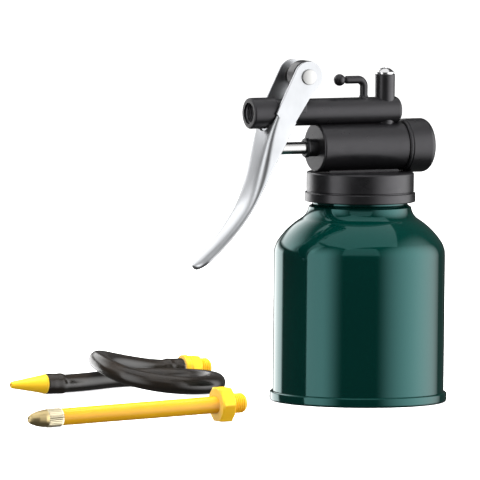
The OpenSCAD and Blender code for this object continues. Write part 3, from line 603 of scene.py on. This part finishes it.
def make_pump_body():
    """The head's one moulding: every turned stretch with rounded edges, joined, then bored."""
    barrel_r, tube_r, boss_r = 12.0, 6.7, 7.6
    collar_r, lip_r, inner_r = 26.35, 27.15, 24.9
    foot_z, lip_z, roof_z, collar_z = 97.9, 102.5, 109, 112.4
    barrel_front, shoulder_x, spigot_x = -25.4, 21.3, 30
    ridges = []
    for k in range(3):
        z = 105.5 - 3 * k
        ridges += [(inner_r, z + 0.9), (24.5, z + 0.25, 0.1), (24.5, z - 0.25, 0.1), (inner_r, z - 0.9)]
    body = turned("pump_moulding", rounded([
        (inner_r, foot_z, 0.3), (lip_r, foot_z, 0.7), (lip_r, lip_z, 0.45), (collar_r - 0.35, lip_z, 0.1),
        (collar_r - 0.35, lip_z + 0.5, 0.1), (collar_r, lip_z + 0.7, 0.15), (collar_r, collar_z, 0.9),
        (0, collar_z), (0, roof_z), (inner_r, roof_z, 0.5),
    ] + ridges), segments=192)
    saddle = slab("saddle", [(-19, 110), (19, 110), (19, 118), (-19, 118)], -4, 4)
    barrel = turned("barrel", along_x([
        (0, barrel_front), (barrel_r, barrel_front, 1.1), (barrel_r, shoulder_x, 0.3), (10.8, shoulder_x),
        (10.8, spigot_x), (0, spigot_x),
    ]), TURN_X, (0, 0, BARREL_Z), 144)
    outlet = turned("outlet", along_x([
        (0, -61.6), (boss_r, -61.6, 0.9), (boss_r, -48.3, 0.9), (tube_r - 0.1, -47.6, 0.3),
        (tube_r, 20.1, 1.8), (0, 20.1),
    ]), TURN_X, (0, 0, OUTLET_Z), 128)
    stub = turned("stub", rounded([
        (0, BARREL_Z), (4.9, BARREL_Z), (4.9, 160.2, 0.45), (0, 160.2),
    ]), place=(VALVE_X, 0, 0), segments=96)
    boss = turned("valve_boss", rounded([(0, 98), (6.5, 98, 0.5), (6.5, 110.5), (0, 110.5)]),
                  place=(VALVE_X, 0, 0), segments=96)
    near_y, step_y, lug_r, far_r = 7.7, 0.4, 7.9, 3.0
    lug = turned("lug", rounded([
        (0, -near_y), (far_r, -near_y, 0.3), (far_r, step_y, 0.3), (lug_r, step_y, 1.1),
        (lug_r, near_y, 0.45), (0, near_y),
    ]), TURN_Y, (PIVOT_X, 0, PIVOT_Z), 96)
    drop = OUTLET_Z - PIVOT_Z
    leaning = [(-7.3, -1.2), (-9.8, -12, 6), (-9.8, drop), (0.4, drop), (0.4, -12, 4), (6.2, -3.8)]
    web = slab("lug_web", [(PIVOT_X + c[0], PIVOT_Z + c[1], *c[2:]) for c in leaning], -7.0, -2.2, 0.6)
    combine(body, [saddle, barrel, outlet, stub, boss, lug, web] + parking_peg(), "UNION")
    bores = [
        rod("barrel_bore", (-22.4, 0, BARREL_Z), (31, 0, BARREL_Z), 8),
        rod("gland_bore", (-27, 0, BARREL_Z), (-20, 0, BARREL_Z), 4.35),
        rod("outlet_bore", (-52, 0, OUTLET_Z), (VALVE_X, 0, OUTLET_Z), 2.5),
        rod("riser", (VALVE_X, 0, BARREL_Z), (VALVE_X, 0, 138), 1.7),
        rod("plug_bore", (VALVE_X, 0, 137), (VALVE_X, 0, 161), 3.2),
        rod("tube_socket", (VALVE_X, 0, 97), (VALVE_X, 0, 107), 4.4),
        rod("ball_room", (VALVE_X, 0, 106), (VALVE_X, 0, 112.6), 3.0),
        rod("suction_way", (VALVE_X, 0, 107), (VALVE_X, 0, 120), 1.5),
        rod("pivot_bore", (PIVOT_X, -12, PIVOT_Z), (PIVOT_X, 12, PIVOT_Z), 2.05),
        rod("vent", (-19, 13, 105), (-19, 13, 115), 0.6, 24),
        turned("cap_relief", [(12.2, shoulder_x), (13.5, shoulder_x), (13.5, shoulder_x + 6),
                              (12.2, shoulder_x + 6)], TURN_X, (0, 0, BARREL_Z), 144),
        outlet_thread(),
    ]
    combine(body, bores, "DIFFERENCE")
    dressed(body, BLACK, "pump_head", ["pump_body"])


def parking_peg():
    """Bent peg with a ball end on top of the outlet tube."""
    leg_x, arm_z, ball_x, bend_r, peg_r, neck_r = 1.4, 157.6, -12.0, 3.3, 1.95, 1.3
    bend = [(leg_x - bend_r + bend_r * math.cos(t), 0, arm_z - bend_r + bend_r * math.sin(t))
            for t in np.linspace(0, math.pi / 2, 13)]
    line = [(leg_x, 0, z) for z in (142, 148.5, 148.9, 149.4, 150.1)] + bend
    radii = [2.9, 2.9, 2.5, 2.15, peg_r] + [peg_r] * len(bend)
    line += [(ball_x + reach, 0, arm_z) for reach in (4.0, 3.3, 2.9, 0)]
    radii += [peg_r, peg_r - 0.15, neck_r, neck_r]
    ball = [(2.9 * math.sin(t), -2.9 * math.cos(t)) for t in np.linspace(0, math.pi, 33)]
    ball[0], ball[-1] = (0, -2.9), (0, 2.9)
    return [tube("peg", line, radii, 40), turned("peg_ball", ball, TURN_X, (ball_x, 0, arm_z), 48)]


def outlet_thread():
    """Cutter for the outlet: a lead-in, then thread grooves at 1 mm pitch."""
    front, depth, tapped, groove = -61.6, 10.0, 4.45, 4.85
    points = [(0, front - 1), (5.2, front - 1), (5.2, front + 1.1, 0.1), (tapped, front + 1.5, 0.1)]
    for k in range(8):
        x = front + 1.7 + k
        points += [(tapped, x, 0.05), (groove, x + 0.4, 0.06), (groove, x + 0.5, 0.06),
                   (tapped, x + 0.85, 0.05)]
    points += [(tapped, front + depth), (0, front + depth)]
    return turned("outlet_cut", along_x(points), TURN_X, (0, 0, OUTLET_Z), 96)


def make_head_fittings():
    """What is fitted to the head: barrel cap, rod gland, pump rod and the plug screw."""
    axis = (0, 0, BARREL_Z)
    cap = turned("barrel_cap", along_x([
        (10.85, 21.4, 0.1), (12.55, 21.4, 0.25), (12.9, 21.8, 0.2), (12.95, 22.5, 0.2), (12.82, 22.7, 0.1),
        (12.82, 22.9, 0.1), (13.2, 23.3, 0.3), (13.2, 35.9, 2.9), (6, 35.9, 1), (5.4, 35.65, 1), (0, 35.65),
        (0, 31), (10.85, 31),
    ]), TURN_X, axis, 144)
    dressed(cap, BLACK, "pump_head", ["end_cap"])

    gland = turned("rod_gland", along_x([
        (3.05, -31, 0.2), (4.85, -31, 0.9), (4.85, -29.3, 0.35), (4.3, -28.9, 0.2), (4.3, -22.4),
        (3.05, -22.4),
    ]), TURN_X, axis, 96)
    dressed(gland, BLACK, "pump_head", ["gland_nut"])

    push_rod = turned("push_rod", along_x([
        (0, -55.05), (3.0, -55.05, 2.85), (3.0, -17), (2.8, -16, 0.3), (0, -16),
    ]), TURN_X, axis, 96)
    dressed(push_rod, ROD_STEEL, "piston", ["piston_rod"])

    head_z, head_r, head_h = 160.7, 4.6, 2.6
    dome_r = (head_r**2 + head_h**2) / (2 * head_h)
    edge = math.degrees(math.asin(head_r / dome_r))
    dome = arc((0, head_z + head_h - dome_r), dome_r, 90 - edge + 4, 90, 14)
    shank = [(0, 148), (2.9, 148), (3.18, 148.3), (3.18, head_z)]
    rim = rounded([(head_r, head_z, 0.15), (head_r, head_z + 0.4)])
    screw = turned("plug_screw", shank + rim + dome[:-1] + [(0, head_z + head_h)],
                   place=(VALVE_X, 0, 0), segments=96)
    cutters = []
    for k, turn in enumerate((18, 108)):
        wedge = slab(f"cross{k}", [(-2.7, 3.2), (-2.5, 2.2), (-0.8, 0.5), (0.8, 0.5), (2.5, 2.2), (2.7, 3.2)],
                     -0.55, 0.55)
        wedge.data.transform(Matrix.Translation(Vector((VALVE_X, 0, head_z)) * MM)
                             @ Matrix.Rotation(math.radians(turn), 4, "Z"))
        cutters.append(wedge)
    combine(screw, cutters, "DIFFERENCE")
    dressed(screw, CHROME, "pump_head", ["discharge_plug"])


make_pump_body()
make_head_fittings()

# ---------------------------------------------------------------------------------------------
# Lever
# ---------------------------------------------------------------------------------------------
LEVER_TOP = np.array((-40.55, 138.0))
LEVER_LEAN = math.radians(28.3)
LEVER_STRAIGHT = 41.0
LEVER_BEND_R = 104.4
LEVER_BEND = math.radians(25.6)
LEVER_L = LEVER_STRAIGHT + LEVER_BEND_R * LEVER_BEND
LEVER_DEEP, LEVER_SHALLOW, LEVER_FADE = 10.9, 2.5, 51.5
LEVER_TAPER, LEVER_TIP_W, LEVER_ROUND = 31.0, 12.85, 7.0
SKIN_RIBS, FLANGE_STEPS, RIM_STEPS = 40, 3, 8
SKIN_POINTS = 2 * SKIN_RIBS + 1 + 2 * FLANGE_STEPS


def lever_section(s):
    """Closed loop of points across the pressed channel at a length along its flanges' edge."""
    angle = LEVER_LEAN + max(0, s - LEVER_STRAIGHT) / LEVER_BEND_R
    run = min(s, LEVER_STRAIGHT)
    x = LEVER_TOP[0] - run * math.sin(LEVER_LEAN) + LEVER_BEND_R * (math.cos(angle) - math.cos(LEVER_LEAN))
    z = LEVER_TOP[1] - run * math.cos(LEVER_LEAN) + LEVER_BEND_R * (math.sin(LEVER_LEAN) - math.sin(angle))
    fade = ease(s / LEVER_FADE)
    end = max(0.0, (s - (LEVER_L - LEVER_ROUND)) / LEVER_ROUND)
    narrow = math.sqrt(1 - 0.985 * end * end)
    taper = ease((s - LEVER_TAPER) / (LEVER_L - LEVER_TAPER))
    half = (LEVER_W - (LEVER_W - LEVER_TIP_W) * taper) / 2 * narrow
    depth = LEVER_SHALLOW + (LEVER_DEEP - LEVER_SHALLOW) * (1 - fade) - 0.3 * end
    crown = ((2.4 + 0.13 * s) ** -4 + (depth - 0.25) ** -4) ** -0.25
    foot = depth - crown
    power = 0.5 + 0.4 * fade
    thick = min(LEVER_SHEET, half * 0.8)

    def skin(inner):
        edge, rise = half - thick * inner, crown - LEVER_SHEET * inner
        flange = [(edge, foot * k / FLANGE_STEPS) for k in range(FLANGE_STEPS)]
        over = []
        for k in range(-SKIN_RIBS, SKIN_RIBS + 1):
            turn = math.pi / 2 * math.copysign(abs(k / SKIN_RIBS) ** 0.9, k)
            over.append((edge * math.copysign(abs(math.sin(turn)) ** power, turn),
                         foot + rise * abs(math.cos(turn)) ** power))
        return [(-y, v) for y, v in flange] + over + flange[::-1]

    rim = [(half - thick / 2 * (1 - math.cos(t)), -0.45 * thick * math.sin(t))
           for t in np.linspace(0, math.pi, RIM_STEPS + 1)[1:-1]]
    loop = skin(0) + rim + skin(1)[::-1] + [(-y, v) for y, v in rim[::-1]]
    return [((x - v * math.cos(angle)) * MM, y * MM, (z + v * math.sin(angle)) * MM) for y, v in loop]


def make_lever():
    """Pressed channel with two ears, and the rivet it swings on."""
    stops = list(np.linspace(0, LEVER_L - LEVER_ROUND, 70))
    stops += [LEVER_L - LEVER_ROUND + LEVER_ROUND * math.sin(t) for t in np.linspace(0, math.pi / 2, 18)[1:]]
    rings = [lever_section(s) for s in stops]
    n = len(rings[0])
    verts = [v for ring in rings for v in ring]
    faces = []
    for i in range(len(rings) - 1):
        for k in range(n):
            k2 = (k + 1) % n
            faces.append([i * n + k, i * n + k2, (i + 1) * n + k2, (i + 1) * n + k])
    last_inner = n - RIM_STEPS
    for start in (0, (len(rings) - 1) * n):
        for k in range(SKIN_POINTS - 1):
            faces.append([start + k, start + k + 1, start + last_inner - k - 1, start + last_inner - k])
        faces.append([start + SKIN_POINTS - 1 + j for j in range(RIM_STEPS + 1)])
        faces.append([start + last_inner + j for j in range(RIM_STEPS)] + [start])
    channel = new_object("pressed_lever", verts, faces)
    ears = []
    head_r = 7.7
    inset = 0.02
    for k, y in enumerate((inset - LEVER_W / 2, LEVER_W / 2 - LEVER_SHEET)):
        x, z = PIVOT_X, PIVOT_Z
        head = [(x + head_r * math.cos(t), z + head_r * math.sin(t))
                for t in np.radians(np.linspace(158, -30, 40))]
        side = [(1.0, -9.9, 3), (-6.95, -22), (-15.5, -37.8), (-16, -37.6), (-16.3, -32.9), (-14.7, -21.8),
                (-17.4, -17.6)]
        corners = head + [(x + c[0], z + c[1], *c[2:]) for c in side]
        ears.append(slab(f"ear{k}", corners, y, y + LEVER_SHEET - inset, 0.3))
    combine(channel, ears, "UNION")
    notch = rod("notch", (-80, 0, OUTLET_Z - 0.6), (-40, 0, OUTLET_Z - 0.6), 8.1, 96)
    hole = rod("hole", (PIVOT_X, -20, PIVOT_Z), (PIVOT_X, 20, PIVOT_Z), 2.0)
    combine(channel, [notch, hole], "DIFFERENCE")
    dressed(channel, LEVER_STEEL, "lever", ["lever"])

    head_r, head_h, face = 3.8, 1.15, LEVER_W / 2
    head = rounded([(2.0, face), (head_r, face), (head_r, face + 0.85, 0.3), (0, face + head_h),
                    (0, face)])[1:-1]
    rivet = turned("rivet", [(2.0, -face), (2.0, face)] + head + [(r, -h) for r, h in head[::-1]],
                   TURN_Y, (PIVOT_X, 0, PIVOT_Z), 96)
    dressed(rivet, RIVET_STEEL, "lever", ["pivot_rivet"])


make_lever()

# ---------------------------------------------------------------------------------------------
# Rigid spout
# ---------------------------------------------------------------------------------------------
SPOUT_PLACE = (-216.0, -75.0)
HEX_X, HEX_APOTHEM, KNURL_R, KNURL_X, NOZZLE_L = 100.0, 8.0, 4.5, 9.2, 17.0
SPOUT_TILT = math.atan((HEX_APOTHEM - KNURL_R) / (HEX_X - KNURL_X))
SPOUT_LIFT = HEX_APOTHEM * math.cos(SPOUT_TILT) - HEX_X * math.sin(SPOUT_TILT)


def make_rigid_spout():
    """Straight tube, its hexagon fitting and the two-part brass nozzle, lying on the floor."""
    tilt = math.degrees(SPOUT_TILT)
    turn = Matrix.Rotation(-SPOUT_TILT, 4, "Y") @ TURN_X
    place = (*SPOUT_PLACE, SPOUT_LIFT)
    pipe = turned("spout_pipe", rounded([
        (2.0, NOZZLE_L), (4.15, NOZZLE_L, 0.3), (4.15, HEX_X + 3), (2.0, HEX_X + 3),
    ]), turn, place, 96)
    dressed(pipe, YELLOW_TUBE, "rigid_spout", ["rigid_spout_tube"])

    fitting = threaded_fitting("spout_hexagon", place, tilt, HEX_APOTHEM, (HEX_X, HEX_X + 7), HEX_X + 15, 0)
    dressed(fitting, YELLOW_FITTING, "rigid_spout", ["rigid_spout_fitting"])

    tip = turned("nozzle_tip", rounded([
        (0.75, 0, 0.1), (1.7, 0, 0.3), (2.6, 1.4, 1.5), (3.6, 4.2, 4), (4.15, 7.6, 2), (4.15, KNURL_X + 0.2),
        (3.0, KNURL_X + 0.2), (3.0, 5), (0.75, 4),
    ]), turn, place, 96)
    dressed(tip, BRASS, "rigid_spout", [])
    teeth, depth = 30, 0.26

    def knurl(angle, r, h):
        ridge = abs((angle * teeth / (2 * math.pi)) % 1 - 0.5) * 2
        return r - depth * (1 - ridge) if r > KNURL_R - 0.6 else r

    collar = turned("nozzle_knurl", rounded([
        (2.0, KNURL_X), (KNURL_R, KNURL_X, 0.35), (KNURL_R, NOZZLE_L - 0.8, 0.3),
        (KNURL_R - 0.3, NOZZLE_L, 0.1), (2.0, NOZZLE_L),
    ]), turn, place, teeth * 8, knurl)
    dressed(collar, KNURL_BRASS, "rigid_spout", ["rigid_spout_nozzle"])
    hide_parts("rigid_spout_nozzle")


make_rigid_spout()

# The loose spouts lie apart from the can and are not mirrored in it
for spout_piece in ("hose", "cone_nozzle", "hose_fitting_piece", "spout_pipe", "spout_hexagon", "nozzle_tip",
                    "nozzle_knurl"):
    bpy.data.objects[spout_piece].visible_glossy = False

# ---------------------------------------------------------------------------------------------
# CAD nodes that stay: seals, valve parts, piston, springs, dip tube and washers, each given a material
# ---------------------------------------------------------------------------------------------
KEPT = {
    "head_gasket": SEAL_RUBBER, "end_cap_seal": SEAL_RUBBER, "rod_seal": SEAL_RUBBER,
    "piston_seal": SEAL_RUBBER, "piston": ALLOY, "return_spring": SPRING_STEEL,
    "discharge_spring": SPRING_STEEL, "suction_seat": BRASS,
    "suction_ball": ROD_STEEL, "discharge_ball": ROD_STEEL, "dip_tube": NATURAL, "strainer": BRASS,
    "plug_washer": CHROME, "rivet_washer": RIVET_STEEL,
}
for node_name, material in KEPT.items():
    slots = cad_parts[node_name].material_slots
    for entry in slots:
        entry.material = material

# ---------------------------------------------------------------------------------------------
# Stage and light
# ---------------------------------------------------------------------------------------------
STAGE_SIZE = 14.0
BOX_AWAY = 1.2
PANEL_AWAY = 1.6


def make_floor():
    half = STAGE_SIZE / 2
    floor = new_object("floor", [(-half, -half, 0), (half, -half, 0), (half, half, 0), (-half, half, 0)],
                       [[0, 1, 2, 3]])
    s = Shader("pale_floor", Roughness=0.9, Emission_Strength=0.8)
    s.bsdf.inputs["Emission Color"].default_value = (1, 1, 1, 1)
    s.set("Base Color", s.blend(s.span(s.noise(3, 3), 0.3, 0.7, 0, 1), (0.93, 0.93, 0.93), (0.9, 0.9, 0.9)))
    floor.data.materials.append(s.mat)
    floor.visible_glossy = False
    floor.visible_diffuse = False


def make_world():
    """Even white surroundings, dim in reflections so that only the soft boxes show there."""
    world = bpy.data.worlds.new("studio")
    bpy.context.scene.world = world
    world.use_nodes = True
    tree = world.node_tree
    path = tree.nodes.new("ShaderNodeLightPath")
    shade = tree.nodes["Background"]
    dim = tree.nodes.new("ShaderNodeMapRange")
    dim.inputs["To Min"].default_value = 0.32
    dim.inputs["To Max"].default_value = 0.07
    tree.links.new(path.outputs["Is Glossy Ray"], dim.inputs["Value"])
    tree.links.new(dim.outputs[0], shade.inputs["Strength"])
    shade.inputs["Color"].default_value = (1, 1, 1, 1)


def softbox(name, sides, distance, low, high, strength, rise=None, fall=None, foot=None, head=None):
    """Tall soft light spanning sides, in degrees round the can from the camera, positive to its right.
    rise and fall are the stretches of its width, 0 to 1 from left to right, over which it brightens and dims
    again, and foot and head are those of its height, from the bottom up."""
    data = bpy.data.lights.new(name, "AREA")
    data.shape = "RECTANGLE"
    half = math.radians(sides[1] - sides[0]) / 2
    data.size, data.size_y = 2 * distance * math.tan(half), high - low
    lamp = bpy.data.objects.new(name, data)
    bpy.context.scene.collection.objects.link(lamp)
    a = VIEW_AZIMUTH + math.radians(sum(sides) / 2)
    away = Vector((math.sin(a), -math.cos(a), 0))
    lamp.location = away * distance + Vector((0, 0, (low + high) / 2))
    lamp.rotation_mode = "QUATERNION"
    lamp.rotation_quaternion = away.to_track_quat("Z", "Y")
    data.energy = strength * data.size * data.size_y * math.pi
    lamp.visible_camera = False
    data.use_nodes = True
    tree = data.node_tree
    split = tree.nodes.new("ShaderNodeSeparateXYZ")
    tree.links.new(tree.nodes.new("ShaderNodeNewGeometry").outputs["Parametric"], split.inputs[0])
    level = None
    brighter, dimmer = (0, 1), (1, 0)
    fades = (("X", rise, brighter), ("X", fall, dimmer), ("Y", foot, brighter), ("Y", head, dimmer))
    for axis, stretch, ends in fades:
        if stretch is None:
            continue
        ramp = tree.nodes.new("ShaderNodeMapRange")
        ramp.interpolation_type = "SMOOTHSTEP"
        tree.links.new(split.outputs[axis], ramp.inputs["Value"])
        ramp.inputs["From Min"].default_value, ramp.inputs["From Max"].default_value = stretch
        ramp.inputs["To Min"].default_value, ramp.inputs["To Max"].default_value = ends
        if level is None:
            level = ramp.outputs[0]
            continue
        both = tree.nodes.new("ShaderNodeMath")
        both.operation = "MULTIPLY"
        tree.links.new(level, both.inputs[0])
        tree.links.new(ramp.outputs[0], both.inputs[1])
        level = both.outputs[0]
    if level is not None:
        tree.links.new(level, tree.nodes["Emission"].inputs["Strength"])
    return lamp


def overhead(name, place, size, strength, mirrored, aim=(0, 0, 0.08)):
    """Soft light from above; mirrored says whether it shows in reflections."""
    data = bpy.data.lights.new(name, "AREA")
    data.shape = "RECTANGLE"
    data.size, data.size_y = size
    lamp = bpy.data.objects.new(name, data)
    bpy.context.scene.collection.objects.link(lamp)
    lamp.location = place
    lamp.rotation_mode = "QUATERNION"
    lamp.rotation_quaternion = (Vector(place) - Vector(aim)).to_track_quat("Z", "Y")
    data.energy = strength * size[0] * size[1] * math.pi
    lamp.visible_camera = False
    lamp.visible_glossy = mirrored
    return lamp


make_floor()
make_world()
softbox("left_box", (-74, -18), BOX_AWAY, -1.2, 1.6, 2.4, fall=(0.4, 0.95), foot=(0.0, 0.4), head=(0.5, 1.0))
softbox("left_high", (-100, -66), BOX_AWAY, 0.3, 1.6, 0.9, foot=(0.0, 0.3))
softbox("back_high", (-168, -96), BOX_AWAY, 0.34, 1.7, 2.7, rise=(0.0, 0.1), fall=(0.7, 1.0),
        foot=(0.0, 0.1), head=(0.1, 0.9))
softbox("right_box", (22, 133), BOX_AWAY, -1.4, 2.0, 3.8, rise=(0.0, 0.6), fall=(0.52, 1.1),
        foot=(0.0, 0.42), head=(0.46, 1.0))
softbox("back_panel", (-168, -123), PANEL_AWAY, -0.5, 0.42, 3.1, rise=(0.0, 0.3), fall=(0.85, 1.0),
        head=(0.7, 1.0))
softbox("front_high", (-24, 28), BOX_AWAY, 0.34, 1.6, 0.7, foot=(0.0, 0.2))
overhead("top_box", (-0.05, -0.1, 1.3), (1.3, 1.0), 8.0, mirrored=False)
overhead("top_glow", (-0.05, 0, 1.25), (1.5, 1.5), 0.9, mirrored=True)
bpy.context.scene.view_settings.view_transform = "Standard"
